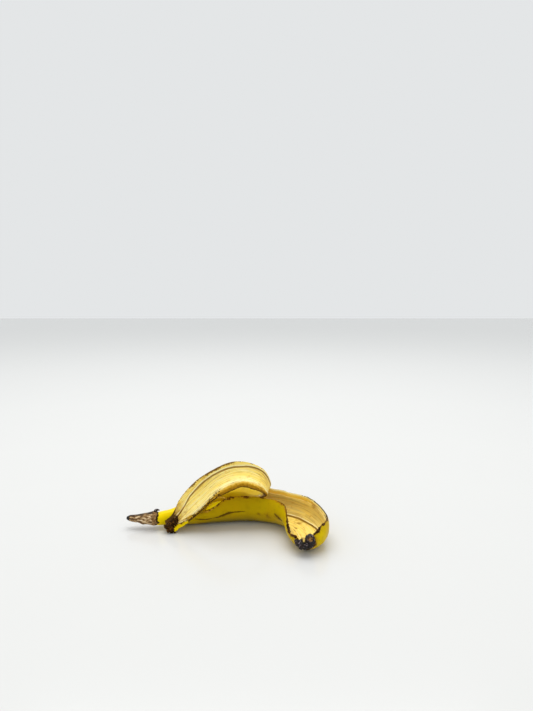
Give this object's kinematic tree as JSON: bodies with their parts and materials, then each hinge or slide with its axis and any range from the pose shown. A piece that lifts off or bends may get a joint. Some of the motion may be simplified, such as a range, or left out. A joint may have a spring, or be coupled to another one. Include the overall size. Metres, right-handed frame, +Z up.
{
  "type": "banana peel",
  "caption": "Emptied banana peel lying on its side: a curved trough of yellow skin from dry stalk to dark blossom end, with a torn strip folded back over it.",
  "frame": {"origin": "on the ground under the middle of the bounding box", "axes": "+X from the stalk towards the bend near the blossom end, +Y away from the open side of the bend, +Z up"},
  "size_m": [0.1918, 0.0978, 0.0624],
  "materials": {
    "peel_skin": "waxy satin yellow skin, matt cream lining, brown torn edges"
  },
  "bodies": {
    "root": {"peel": "peel_skin"}
  },
  "joints": []
}
